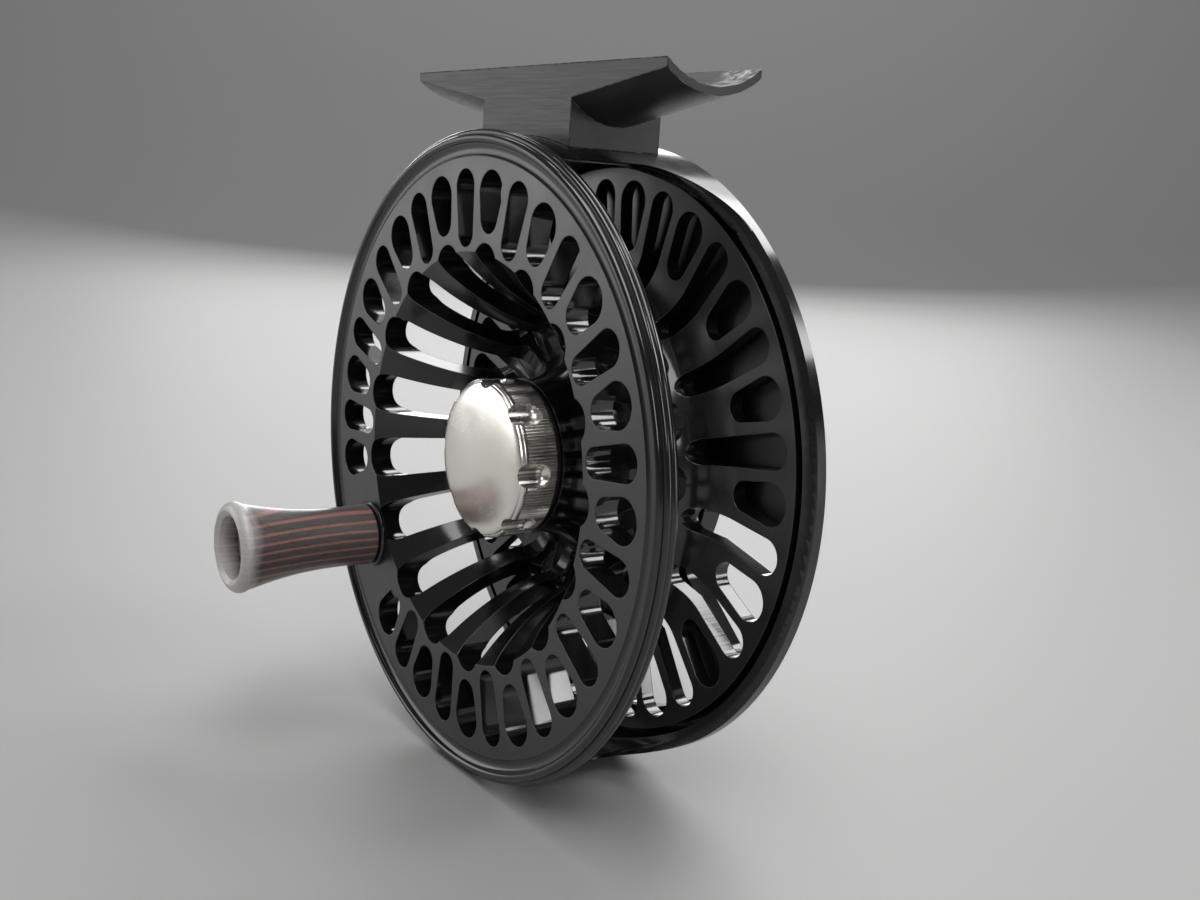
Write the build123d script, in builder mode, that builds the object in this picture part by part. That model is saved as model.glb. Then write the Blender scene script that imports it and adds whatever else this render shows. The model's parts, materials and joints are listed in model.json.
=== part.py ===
from build123d import *
import os
from math import cos, radians, sin

# Single-action fly reel, millimetres, +Z up.
# The origin is the middle of the reel foot's seat, on the line between its two upper edges.
# The spool axis runs along Y below it: the winding handle is at -Y and the drag knob at +Y.
# "Depth" below is the distance behind the plane of the spool's slotted front face, along +Y.

# ---- main sizes ----
SPOOL_RADIUS = 46.0          # outside of the front rim
FOOT_HEIGHT = 54.9           # foot seat above the spool axis
FOOT_LENGTH = 62.8
FOOT_WIDTH = 14.95
FOOT_FRONT_DEPTH = 6.9       # front of the foot behind the spool's face
FOOT_HALF_BLOCK = 11.3
BLOCK_LOW = 40.0             # height above the spool axis that the foot's block is drawn down to

# ---- spool ----
SLOT_PAIRS = 17
SLOT_PITCH = 180.0 / SLOT_PAIRS
LONG_SLOT_ANGLE = 95.3       # one long slot, counted from +X towards +Z
HANDLE_PAD_SLOTS = (22, 23, 24)
FACE_INNER_RADIUS = 29.3
FACE_OUTER_RADIUS = 42.3
FRONT_WEB = 3.4
RIM_CREST = 0.6              # how far the rim's front bead stands in front of the slotted face
RIM_GROOVE_RADIUS = 45.8
RIM_GROOVE_DEPTH = 1.05
SLOT_OUTER_RADIUS = 40.7
LONG_SLOT_INNER_RADIUS = 29.9
SHORT_SLOT_INNER_RADIUS = 32.1
LONG_SLOT_WIDTHS = (4.0, 4.9)   # at the inner and the outer end
SHORT_SLOT_WIDTHS = (4.4, 6.0)
DISH_SLOT_OUTER_RADIUS = 30.8
DISH_SLOT_INNER_RADIUS = 15.2
DISH_SLOT_END_DEPTH = 20.6
DISH_SLOT_WIDTHS = (4.2, 6.2)
DISH_SLOT_SIDE_WIDTH = 6.4
DISH_SLOT_CORNER = 2.6
REAR_FLANGE_RADIUS = 42.2
REAR_FLANGE_FRONT = 23.9
REAR_FLANGE_BACK = 26.0
REAR_LONG_INNER_RADIUS = 24.2
REAR_SHORT_INNER_RADIUS = 30.4
REAR_SLOT_OUTER_RADIUS = 40.6
REAR_LONG_WIDTHS = (3.6, 5.0)
REAR_SHORT_WIDTHS = (4.2, 5.9)
ARBOR_FILLET = 8.3
HUB_RADIUS = 11.3
HUB_FRONT = 9.2
HUB_REAR = 25.6
HUB_REAR_RADIUS = 10.0
HUB_BORE_RADIUS = 4.2
HUB_SHOULDER = 21.4          # where the web of the dish meets the back of the hub
SLOT_MARGIN = 1.0            # how far the cutting shapes stand clear of the metal
FLANGE_CUT_DEPTH = 8.0       # how far the rear slots run forward into the arbor
SNAP_RING_GROOVE = (6.9, 9.6, 10.1)     # radius, front and back

# Points of the spool's section as (radius, depth); each curve is given by its middle and its end.
HUB_ROOT = ((12.0, 14.4), (14.6, 18.4))
DISH_FLOOR = ((17.9, 18.9), (19.6, 15.4))
DISH_WALL_MIDDLE = (23.2, 7.4)
RIM_COVE = ((43.25, 0.3), (44.1, -0.15))
RIM_BEAD = ((44.75, -RIM_CREST), (45.3, -0.1))
RIM_STEP = (45.35, 0.2)
RIM_LIP = ((45.95, 0.55), (RIM_GROOVE_RADIUS, RIM_GROOVE_DEPTH))
RIM_OUTER_BEAD = ((SPOOL_RADIUS, 1.55), (45.6, 2.05))
RIM_BACK = ((44.8, 2.8), (43.7, FRONT_WEB))
WEB_ROOT = (31.6, FRONT_WEB)
DISH_BACK_TOP = ((30.0, 3.8), (28.9, 5.0))
DISH_BACK = ((24.6, 10.2), (22.7, REAR_FLANGE_FRONT - ARBOR_FILLET))
FLANGE_ROOT = (31.0, REAR_FLANGE_FRONT)
FLANGE_BACK_ROOT = (28.6, REAR_FLANGE_BACK)
WEB_BACK = ((22.6, 22.9), (19.0, HUB_SHOULDER))

# ---- bearings and clutch ----
BEARING_RADIUS = 6.5
BEARING_FRONT = 10.2
BEARING_WIDTH = 3.0
CLUTCH_RADIUS = 8.0
CLUTCH_FRONT = 14.4
CLUTCH_WIDTH = 7.4
REAR_BEARING_FRONT = 22.2
REAR_BEARING_WIDTH = 2.0
RUNNING_CLEARANCE = 0.03

# ---- frame ----
RING_RADIUS = 45.5
RING_FRONT = 24.0
RING_SHOULDER = 26.0         # where the round back of the ring begins
RING_BORE_RADIUS = 43.3
RING_EDGE = 0.5              # radial width of the bevel round the ring's front and the side openings
PLATE_FRONT = 26.9
PLATE_BACK = 30.0
BRIDGE_FRONT = 5.7
BRIDGE_TOP_EDGE = 42.3       # height of the side opening's top edge above the spool axis
BRIDGE_BOTTOM_EDGE = -43.4
HOUSING_BORE_RADIUS = 15.5

# ---- drag ----
SPINDLE_RADIUS = 3.0
SPINDLE_TIP_RADIUS = 2.5
ROTOR_RADIUS = 5.5
CUP_RADIUS = 13.6
CUP_FLOOR = 33.0
CUP_FRONT = 26.2
HOUSING_BACK = 34.6
HOUSING_FLANGE_RADIUS = 20.0
HOUSING_FLANGE_WEB = 1.6
HOUSING_CUP_ROOT = 16.0
HOUSING_CUP_RADIUS = 15.2
HOUSING_SCREW_CIRCLE = 17.8
HOUSING_SCREW_COUNT = 6
REAR_BOSS_RADIUS = 8.0
REAR_BOSS_BACK = 37.5
PUSH_PIN_CIRCLE = 11.6
PUSH_PIN_RADIUS = 0.8
DETENT_CIRCLE = 10.0
DISC_FRONT = 27.5
DISC_GAP = 0.05
CARBON_WEB = 0.6
STEEL_WEB = 0.5
CARBON_DISC_COUNT = 3
CARBON_DISC_RADIUS = 12.8
STEEL_DISC_BORE = 6.4
KEY_RADIUS = 6.0             # outside of the sleeve that the carbon discs are keyed to
ROTOR_BACK = 30.5
PRESSURE_PLATE_BORE = 3.4
PRESSURE_PLATE_WEB = 0.9
CONE_SPRING_RADII = (7.0, 12.4)
CONE_SPRING_WEB = 0.35
CONE_SPRING_RISE = 0.55
COVER_LIP_RADIUS = 5.7
COVER_LIP_FRONT = 27.2
SEAL_FIT = 0.02
SEAL_HALF_WIDTH = 0.48

# ---- knobs ----
KNOB_RADIUS = 11.4
KNOB_FACE = 2.7
KNOB_BACK = 8.4
KNOB_DOME = 1.1
SCALLOP_COUNT = 8
SCALLOP_START = -1.5         # angle of the first flute, from +X towards +Z
SCALLOP_RADIUS = 2.0
SCALLOP_CENTRE = 12.3
SCALLOP_END = 5.2
KNOB_LIP = 0.5               # rounding of the knob's front edge
KNOB_BEVEL = 0.3
KNOB_BLIND = 4.2             # bottom of the threaded hole
KNOB_RING_RADIUS = 10.8
DRAG_KNOB_RADIUS = 12.4
DRAG_KNOB_FRONT = 35.2
DRAG_KNOB_BACK = 42.0
DRAG_SCALLOP_END = 38.4
CAP_STEM_RADIUS = 2.0
CAP_STEM_FRONT = 40.2
CAP_RADIUS = 5.6
CAP_HEIGHT = 0.9
NUT_POCKET = (6.2, 37.8, 40.6)          # radius, front and back
DETENT_POCKET_RADIUS = 0.8
DETENT_BALL_RADIUS = 0.68

# ---- clicker ----
GEAR_RADIUS = 13.6
GEAR_TEETH = 60
GEAR_FRONT = 24.0
GEAR_WEB = 1.4
PAWL_PIVOT_RADIUS = 19.0
PAWL_ANGLE = 200.0

# ---- handle ----
HANDLE_CIRCLE = 34.2
HANDLE_ANGLE = LONG_SLOT_ANGLE - 23 * SLOT_PITCH
HANDLE_LENGTH = 24.0
GRIP_BASE = 0.9
GRIP_BORE = 3.2
GRIP_MOUTH = 4.9
GRIP_SEAT = 19.2             # depth of the shoulder that the bush ends at, in front of the face
GRIP_WAIST = ((4.75, -7.0), (5.05, -12.5), (5.9, -18.0))
GRIP_CORNER = (4.85, -1.4)
GRIP_SWELL = (6.75, -21.8)
GRIP_END = (5.7, -HANDLE_LENGTH)
POST_RADIUS = 2.5
POST_THREAD_RADIUS = 2.0
POST_END = 19.6
HANDLE_SCREW_RADIUS = 1.5
HANDLE_SCREW_DEPTH = 8.0
HANDLE_SCREW_HEAD = ((4.0, -20.4), (3.4, -21.0), (0, -21.0))
HANDLE_SOCKET_FLOOR = 20.0
WASHER_OUTLINE = ((5.3, 0), (5.3, -0.55), (5.05, -0.75))

RIM_Y = -(FOOT_FRONT_DEPTH + FOOT_WIDTH / 2)
AXIS_Z = -FOOT_HEIGHT
SPOOL_AXIS = Axis((0, RIM_Y, AXIS_Z), (0, 1, 0))

# Half section through the spool axis: local X is the radius, local Y the depth.
SECTION = Plane(origin=(0, RIM_Y, AXIS_Z), x_dir=(1, 0, 0), z_dir=(0, 0, 1))

# The same half section, turned to lie midway between two flutes of a knob.
KNOB_TURN = radians(SCALLOP_START + 180 / SCALLOP_COUNT)
KNOB_SECTION = Plane(origin=(0, RIM_Y, AXIS_Z), x_dir=(cos(KNOB_TURN), 0, sin(KNOB_TURN)),
                     z_dir=(-sin(KNOB_TURN), 0, cos(KNOB_TURN)))

HANDLE_X = HANDLE_CIRCLE * cos(radians(HANDLE_ANGLE))
HANDLE_Z = HANDLE_CIRCLE * sin(radians(HANDLE_ANGLE))
HANDLE_SECTION = Plane(origin=(HANDLE_X, RIM_Y, AXIS_Z + HANDLE_Z), x_dir=(1, 0, 0), z_dir=(0, 0, 1))
HANDLE_AXIS = Axis((HANDLE_X, RIM_Y, AXIS_Z + HANDLE_Z), (0, 1, 0))


def station(depth):
    """Plane across the spool axis at a depth, seen from the front: X right, Y up, Z to the front."""
    return Plane(origin=(0, RIM_Y + depth, AXIS_Z), x_dir=(1, 0, 0), z_dir=(0, -1, 0))


def turned(*outline, plane=SECTION, axis=SPOOL_AXIS):
    """Revolve a closed outline of (radius, depth) points."""
    with BuildPart() as body:
        with BuildSketch(plane):
            with BuildLine():
                Polyline(*outline, close=True)
            make_face()
        revolve(axis=axis)
    return body.part


def ring(inner, outer, front, back, plane=SECTION, axis=SPOOL_AXIS):
    """Plain turned ring, or a disc where the inner radius is 0."""
    return turned((inner, front), (outer, front), (outer, back), (inner, back), plane=plane, axis=axis)


def fan_slot(inner, outer, inner_width, outer_width):
    """Radial slot along +X with round ends, a little wider at its outer end."""
    with BuildSketch() as slot:
        with Locations((inner + inner_width / 2, 0)):
            Circle(inner_width / 2)
        with Locations((outer - outer_width / 2, 0)):
            Circle(outer_width / 2)
        make_hull()
    return slot.sketch


def slot_angle(index):
    return LONG_SLOT_ANGLE - index * SLOT_PITCH


def slot_places(parity, left_out=()):
    """Turned places of every second slot, without the ones that are left solid."""
    indices = [i for i in range(parity, 2 * SLOT_PAIRS, 2) if i not in left_out]
    return [Location((0, 0, 0), (0, 0, slot_angle(i))) for i in indices]


def save(builder, name):
    builder.part.label = name
    export_step(builder.part, f"parts/{name}.step")


os.makedirs("parts", exist_ok=True)

# ---------------------------------------------------------------- spool
# One turned piece: front flange with a beaded rim, a conical dish, a hub and a rear flange.
with BuildPart() as spool:
    with BuildSketch(SECTION):
        with BuildLine():
            # hub and dish, seen from the front
            Line((BEARING_RADIUS, HUB_FRONT), (HUB_RADIUS, HUB_FRONT))
            ThreePointArc((HUB_RADIUS, HUB_FRONT), *HUB_ROOT)
            ThreePointArc(HUB_ROOT[-1], *DISH_FLOOR)
            ThreePointArc(DISH_FLOOR[-1], DISH_WALL_MIDDLE, (FACE_INNER_RADIUS, 0))
            # slotted face and rim
            Line((FACE_INNER_RADIUS, 0), (FACE_OUTER_RADIUS, 0))
            ThreePointArc((FACE_OUTER_RADIUS, 0), *RIM_COVE)
            ThreePointArc(RIM_COVE[-1], *RIM_BEAD)
            Line(RIM_BEAD[-1], RIM_STEP)
            ThreePointArc(RIM_STEP, *RIM_LIP)
            ThreePointArc(RIM_LIP[-1], *RIM_OUTER_BEAD)
            ThreePointArc(RIM_OUTER_BEAD[-1], *RIM_BACK)
            Line(RIM_BACK[-1], WEB_ROOT)
            # outside of the dish, arbor and rear flange
            ThreePointArc(WEB_ROOT, *DISH_BACK_TOP)
            ThreePointArc(DISH_BACK_TOP[-1], *DISH_BACK)
            RadiusArc(DISH_BACK[-1], FLANGE_ROOT, ARBOR_FILLET)
            Polyline(FLANGE_ROOT, (REAR_FLANGE_RADIUS, REAR_FLANGE_FRONT),
                     (REAR_FLANGE_RADIUS, REAR_FLANGE_BACK), FLANGE_BACK_ROOT, *WEB_BACK)
            # rear of the hub and its stepped bore
            Polyline(WEB_BACK[-1], (HUB_REAR_RADIUS, HUB_SHOULDER), (HUB_REAR_RADIUS, HUB_REAR),
                     (CLUTCH_RADIUS, HUB_REAR), (CLUTCH_RADIUS, CLUTCH_FRONT),
                     (HUB_BORE_RADIUS, CLUTCH_FRONT), (HUB_BORE_RADIUS, BEARING_FRONT + BEARING_WIDTH),
                     (BEARING_RADIUS, BEARING_FRONT + BEARING_WIDTH), (BEARING_RADIUS, HUB_FRONT))
        make_face()
    revolve(axis=SPOOL_AXIS)

    # front flange slots, long and short in turn, with a solid pad behind the handle
    with BuildSketch(station(-SLOT_MARGIN)):
        with Locations(*slot_places(0, HANDLE_PAD_SLOTS)):
            add(fan_slot(LONG_SLOT_INNER_RADIUS, SLOT_OUTER_RADIUS, *LONG_SLOT_WIDTHS))
        with Locations(*slot_places(1, HANDLE_PAD_SLOTS)):
            add(fan_slot(SHORT_SLOT_INNER_RADIUS, SLOT_OUTER_RADIUS, *SHORT_SLOT_WIDTHS))
    extrude(amount=-(FRONT_WEB + 2 * SLOT_MARGIN), mode=Mode.SUBTRACT)
    # rear flange slots: the long ones run on into the fillet of the arbor
    with BuildSketch(station(REAR_FLANGE_BACK + SLOT_MARGIN)):
        with Locations(*slot_places(0)):
            add(fan_slot(REAR_LONG_INNER_RADIUS, REAR_SLOT_OUTER_RADIUS, *REAR_LONG_WIDTHS))
        with Locations(*slot_places(1)):
            add(fan_slot(REAR_SHORT_INNER_RADIUS, REAR_SLOT_OUTER_RADIUS, *REAR_SHORT_WIDTHS))
    extrude(amount=FLANGE_CUT_DEPTH, mode=Mode.SUBTRACT)

# One opening of the dish: a round-ended slot seen from the front, and again seen from its side.
with BuildPart() as dish_slot:
    with BuildSketch(Plane.XY.offset(SLOT_MARGIN)):
        add(fan_slot(DISH_SLOT_INNER_RADIUS, DISH_SLOT_OUTER_RADIUS, *DISH_SLOT_WIDTHS))
    extrude(amount=-(DISH_SLOT_END_DEPTH + SLOT_MARGIN))
    with BuildSketch(Plane.YZ.offset(DISH_SLOT_INNER_RADIUS - SLOT_MARGIN)):
        with Locations((0, -DISH_SLOT_END_DEPTH / 2 + 2 * SLOT_MARGIN)):
            Rectangle(DISH_SLOT_SIDE_WIDTH, DISH_SLOT_END_DEPTH + 4 * SLOT_MARGIN)
        fillet(vertices().group_by(Axis.Y)[0], DISH_SLOT_CORNER)
    extrude(amount=DISH_SLOT_OUTER_RADIUS, mode=Mode.INTERSECT)

with BuildPart(station(0)) as dish_slots:
    for place in slot_places(1):
        with Locations(place):
            add(dish_slot.part)

with BuildPart() as spool_cut:
    add(spool.part)
    add(dish_slots.part, mode=Mode.SUBTRACT)
    # threaded hole for the handle post
    add(ring(0, POST_THREAD_RADIUS, -SLOT_MARGIN, FRONT_WEB + SLOT_MARGIN, HANDLE_SECTION, HANDLE_AXIS),
        mode=Mode.SUBTRACT)
    # groove of the bearing's snap ring
    add(ring(BEARING_RADIUS - 0.1, *SNAP_RING_GROOVE), mode=Mode.SUBTRACT)
save(spool_cut, "spool")

# ---------------------------------------------------------------- bearings and clutch in the spool


def turned_torus(radius, section_radius, depth):
    with BuildPart() as groove:
        with BuildSketch(SECTION):
            with Locations((radius, depth)):
                Circle(section_radius)
        revolve(axis=SPOOL_AXIS)
    return groove.part


def ball_bearing(bore, outer, front, width, ball_radius, ball_count):
    """Two races with a row of balls between them, as separate solids in one piece."""
    middle = (bore + outer) / 2
    race = (outer - bore) / 2 - ball_radius * 0.6
    with BuildPart() as bearing:
        add(ring(bore, bore + race, front, front + width))
        add(ring(outer - race, outer, front, front + width))
        groove = turned_torus(middle, ball_radius + RUNNING_CLEARANCE, front + width / 2)
        add(groove, mode=Mode.SUBTRACT)
        with Locations(station(front + width / 2)):
            with PolarLocations(middle, ball_count):
                Sphere(ball_radius)
    return bearing


front_bearing = ball_bearing(SPINDLE_TIP_RADIUS + RUNNING_CLEARANCE, BEARING_RADIUS, BEARING_FRONT,
                             BEARING_WIDTH, 1.0, 8)
save(front_bearing, "front_bearing")

rear_bearing = ball_bearing(ROTOR_RADIUS + RUNNING_CLEARANCE, CLUTCH_RADIUS, REAR_BEARING_FRONT,
                            REAR_BEARING_WIDTH, 0.6, 16)
save(rear_bearing, "rear_bearing")

# One-way clutch: a drawn cup with needle rollers that ride on the drag rotor.
NEEDLE_RADIUS = 0.7
NEEDLE_COUNT = 14
NEEDLE_END_GAP = 0.5
NEEDLE_CIRCLE = ROTOR_RADIUS + NEEDLE_RADIUS + RUNNING_CLEARANCE
with BuildPart() as one_way_clutch:
    cup_bore = NEEDLE_CIRCLE + NEEDLE_RADIUS + 0.05
    add(ring(cup_bore, CLUTCH_RADIUS, CLUTCH_FRONT, CLUTCH_FRONT + CLUTCH_WIDTH))
    with BuildSketch(station(CLUTCH_FRONT + NEEDLE_END_GAP)):
        with PolarLocations(NEEDLE_CIRCLE, NEEDLE_COUNT):
            Circle(NEEDLE_RADIUS)
    extrude(amount=-(CLUTCH_WIDTH - 2 * NEEDLE_END_GAP))
save(one_way_clutch, "one_way_clutch")

# Snap ring with a gap, in a groove in front of the bearing.
SNAP_RING_SECTION = (5.9, 6.85, 9.62, 10.08)
SNAP_RING_GAP = 2.4
with BuildPart() as bearing_snap_ring:
    add(ring(*SNAP_RING_SECTION))
    with BuildSketch(station(HUB_FRONT)):
        with Locations((0, -BEARING_RADIUS)):
            Rectangle(SNAP_RING_GAP, SNAP_RING_GAP)
    extrude(amount=-SNAP_RING_GAP, mode=Mode.SUBTRACT)
save(bearing_snap_ring, "bearing_snap_ring")

# Click gear pressed on the back of the hub.
TOOTH_DEPTH = 0.7
TOOTH_HALF_GAP = 0.55
TOOTH_MARGIN = 0.2
with BuildPart() as click_gear:
    add(ring(HUB_REAR_RADIUS, GEAR_RADIUS, GEAR_FRONT, GEAR_FRONT + GEAR_WEB))
    with BuildSketch(station(GEAR_FRONT - 1)):
        with PolarLocations(GEAR_RADIUS, GEAR_TEETH):
            with BuildLine():
                Polyline((-TOOTH_DEPTH, 0), (TOOTH_MARGIN, TOOTH_HALF_GAP), (TOOTH_MARGIN, -TOOTH_HALF_GAP),
                         close=True)
            make_face()
    extrude(amount=-(GEAR_WEB + 2), mode=Mode.SUBTRACT)
save(click_gear, "click_gear")

# ---------------------------------------------------------------- frame
PORT_COUNT = 4
PORT_HALF_ANGLE = 17
PORT_FIRST_ANGLE = -22.5
PORT_SWEEP = -135
PORT_RADII = (21.8, 39.4)
PORT_CORNER = 3.4
RING_BACK_CURVE = ((43.6, 27.6), (40.5, 29.2))
PLATE_EDGE_RADIUS = 36.0
PLATE_RELIEF = (0.9, 0.6)        # corner between the plate and the bore of the ring
OPENING_CORNERS = (9, 7)         # at the top and at the bottom of a side opening
OPENING_BEVEL = 0.95
FOOT_SCREW_DEPTHS = (10.4, 18.4)
FOOT_SCREW_RADIUS = 1.5
FOOT_SCREW_HEAD_RADIUS = 2.6
FOOT_SCREW_HEAD_HEIGHT = 1.3
FOOT_SCREW_TOP = 50.0            # height of the screw's end above the spool axis
HOUSING_SCREW_RADIUS = 1.0
HOUSING_SCREW_HEAD_RADIUS = 1.6
HOUSING_SCREW_HEAD_HEIGHT = 1.1
PAWL_PIN_RADIUS = 1.0


def ring_across(inner, outer, low, high, depth):
    """Ring about the vertical line at a depth, between two heights above the spool axis."""
    plane = Plane(origin=(0, RIM_Y + depth, AXIS_Z), x_dir=(1, 0, 0), z_dir=(0, -1, 0))
    axis = Axis((0, RIM_Y + depth, AXIS_Z), (0, 0, 1))
    return turned((inner, low), (outer, low), (outer, high), (inner, high), plane=plane, axis=axis)


def countersink(depth, clearance):
    """Conical screw head under the top bridge; its flat face is flush with the bridge's bore."""
    plane = Plane(origin=(0, RIM_Y + depth, AXIS_Z), x_dir=(1, 0, 0), z_dir=(0, -1, 0))
    axis = Axis((0, RIM_Y + depth, AXIS_Z), (0, 0, 1))
    face = RING_BORE_RADIUS
    head = FOOT_SCREW_HEAD_RADIUS + clearance
    top = face + FOOT_SCREW_HEAD_HEIGHT
    return turned((0, face - 1), (head, face - 1), (head, face + 0.1), (FOOT_SCREW_RADIUS, top), (0, top),
                  plane=plane, axis=axis)


def on_outside(edge):
    """True for an edge that lies all along the frame's outer cylinder."""
    points = [edge @ 0, edge @ 0.5, edge @ 1]
    return all(abs((point.X ** 2 + (point.Z - AXIS_Z) ** 2) ** 0.5 - RING_RADIUS) < 0.01 for point in points)


def in_opening(edge):
    """True for an edge between the front of the bridges and the ring's shoulder."""
    middle_depth = (edge @ 0.5).Y - RIM_Y
    return BRIDGE_FRONT + 0.1 < middle_depth < RING_SHOULDER - 0.1


with BuildSketch() as port:
    Circle(PORT_RADII[1])
    Circle(PORT_RADII[0], mode=Mode.SUBTRACT)
    with BuildLine():
        port_x = 2 * RING_RADIUS * cos(radians(PORT_HALF_ANGLE))
        port_y = 2 * RING_RADIUS * sin(radians(PORT_HALF_ANGLE))
        Polyline((0, 0), (port_x, port_y), (port_x, -port_y), close=True)
    make_face(mode=Mode.INTERSECT)
    fillet(vertices(), PORT_CORNER)

with BuildPart() as frame:
    # ring and back plate
    with BuildSketch(SECTION):
        with BuildLine():
            Line((RING_BORE_RADIUS, RING_FRONT), (RING_RADIUS, RING_FRONT))
            Line((RING_RADIUS, RING_FRONT), (RING_RADIUS, RING_SHOULDER))
            ThreePointArc((RING_RADIUS, RING_SHOULDER), *RING_BACK_CURVE)
            Polyline(RING_BACK_CURVE[-1], (PLATE_EDGE_RADIUS, PLATE_BACK), (HOUSING_BORE_RADIUS, PLATE_BACK),
                     (HOUSING_BORE_RADIUS, PLATE_FRONT), (RING_BORE_RADIUS - PLATE_RELIEF[0], PLATE_FRONT),
                     (RING_BORE_RADIUS, PLATE_FRONT - PLATE_RELIEF[1]), (RING_BORE_RADIUS, RING_FRONT))
        make_face()
    revolve(axis=SPOOL_AXIS)
    # shell that the two bridges are cut from
    add(ring(RING_BORE_RADIUS, RING_RADIUS, BRIDGE_FRONT, RING_FRONT + 1))
    # side openings, with round corners where the bridges sweep into the ring
    with BuildSketch(Plane.YZ.offset(-SPOOL_RADIUS - 1)):
        with BuildLine():
            opening_front = RIM_Y + BRIDGE_FRONT - 2
            opening_back = RIM_Y + RING_FRONT
            opening_low = AXIS_Z + BRIDGE_BOTTOM_EDGE
            opening_high = AXIS_Z + BRIDGE_TOP_EDGE
            Polyline((opening_front, opening_low), (opening_back, opening_low), (opening_back, opening_high),
                     (opening_front, opening_high), close=True)
        make_face()
        fillet(vertices().group_by(Axis.X)[-1].sort_by(Axis.Y)[-1], OPENING_CORNERS[0])
        fillet(vertices().group_by(Axis.X)[-1].sort_by(Axis.Y)[0], OPENING_CORNERS[1])
    extrude(amount=2 * SPOOL_RADIUS + 2, mode=Mode.SUBTRACT)
    # bevel along the outer edges of the side openings and of the ring between them
    rim_edges = edges().filter_by(lambda edge: on_outside(edge) and in_opening(edge))
    chamfer(rim_edges, OPENING_BEVEL, RING_EDGE)
    # ports in the lower half of the back plate
    with BuildSketch(station(PLATE_FRONT - 1)):
        with PolarLocations(0, PORT_COUNT, PORT_FIRST_ANGLE, PORT_SWEEP, endpoint=True):
            add(port.sketch)
    extrude(amount=-(PLATE_BACK - PLATE_FRONT + 3), mode=Mode.SUBTRACT)
    # countersunk holes for the foot screws, from inside the top bridge
    for depth in FOOT_SCREW_DEPTHS:
        add(ring_across(0, FOOT_SCREW_RADIUS + 0.1, BLOCK_LOW, RING_RADIUS + 1, depth), mode=Mode.SUBTRACT)
        add(countersink(depth, 0.05), mode=Mode.SUBTRACT)
    # screw holes of the drag housing and the hole of the pawl pin
    with BuildSketch(station(PLATE_FRONT - 1)):
        with PolarLocations(HOUSING_SCREW_CIRCLE, HOUSING_SCREW_COUNT, start_angle=0):
            Circle(HOUSING_SCREW_RADIUS)
        with PolarLocations(PAWL_PIVOT_RADIUS, 1, start_angle=PAWL_ANGLE):
            Circle(PAWL_PIN_RADIUS)
    extrude(amount=-(PLATE_BACK - PLATE_FRONT + 3), mode=Mode.SUBTRACT)
save(frame, "frame")

# ---------------------------------------------------------------- reel foot
TROUGH_DEPTH = 2.8
TROUGH_RADIUS = ((FOOT_WIDTH / 2) ** 2 + TROUGH_DEPTH ** 2) / (2 * TROUGH_DEPTH)
ARM_ROOT_EDGE = 4.56         # thickness of an arm's edge where it leaves the block
ARM_ROOT_BELLY = 3.33        # how far the arm's underside bulges below its edges there
ARM_TIP_EDGE = 1.2
ARM_TIP_BELLY = 2.7
FOOT_SOCKET_RADIUS = 1.1
FOOT_SOCKET_DEPTH = 1.4


def arm_outline(x, edge, belly):
    """Cross-section of an arm: flat on top, bulging below; local X is Y, local Y is Z."""
    half = FOOT_WIDTH / 2
    with BuildSketch(Plane.YZ.offset(x)) as outline:
        with BuildLine():
            Line((-half, -edge), (-half, 0))
            Line((-half, 0), (half, 0))
            Line((half, 0), (half, -edge))
            ThreePointArc((half, -edge), (0, -edge - belly), (-half, -edge))
        make_face()
    return outline.sketch


def arm(side):
    with BuildPart() as blade:
        add(arm_outline(side * (FOOT_HALF_BLOCK - 1), ARM_ROOT_EDGE, ARM_ROOT_BELLY))
        add(arm_outline(side * FOOT_LENGTH / 2, ARM_TIP_EDGE, ARM_TIP_BELLY))
        loft()
    return blade.part


with BuildPart() as reel_foot:
    with BuildSketch(Plane.XZ.offset(-FOOT_WIDTH / 2)):
        with BuildLine():
            block_low = AXIS_Z + BLOCK_LOW
            Polyline((-FOOT_HALF_BLOCK, 0), (-FOOT_HALF_BLOCK, block_low), (FOOT_HALF_BLOCK, block_low),
                     (FOOT_HALF_BLOCK, 0), close=True)
        make_face()
    extrude(amount=FOOT_WIDTH)
    add(arm(1))
    add(arm(-1))
    # trough that takes the rod, and the round top of the frame
    with BuildSketch(Plane.YZ.offset(-FOOT_LENGTH)):
        with Locations((0, TROUGH_RADIUS - TROUGH_DEPTH)):
            Circle(TROUGH_RADIUS)
    extrude(amount=2 * FOOT_LENGTH, mode=Mode.SUBTRACT)
    add(ring(0, RING_RADIUS, -RING_FRONT, 2 * RING_FRONT), mode=Mode.SUBTRACT)
    for depth in FOOT_SCREW_DEPTHS:
        add(ring_across(0, FOOT_SCREW_RADIUS, BLOCK_LOW, FOOT_SCREW_TOP + 0.2, depth), mode=Mode.SUBTRACT)
save(reel_foot, "reel_foot")

with BuildPart() as foot_screws:
    for depth in FOOT_SCREW_DEPTHS:
        add(ring_across(0, FOOT_SCREW_RADIUS, RING_BORE_RADIUS + 0.5, FOOT_SCREW_TOP, depth))
        add(countersink(depth, 0))
    # heads are cut flush with the bore of the bridge, with a hexagon socket in each
    add(ring(0, RING_BORE_RADIUS + 0.02, -RING_FRONT, 2 * RING_FRONT), mode=Mode.SUBTRACT)
    with BuildSketch(Plane.XY.offset(AXIS_Z + BLOCK_LOW)):
        with Locations(*[(0, RIM_Y + depth) for depth in FOOT_SCREW_DEPTHS]):
            RegularPolygon(FOOT_SOCKET_RADIUS, 6)
    extrude(amount=RING_BORE_RADIUS - BLOCK_LOW + FOOT_SOCKET_DEPTH, mode=Mode.SUBTRACT)
save(foot_screws, "foot_screws")

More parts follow.
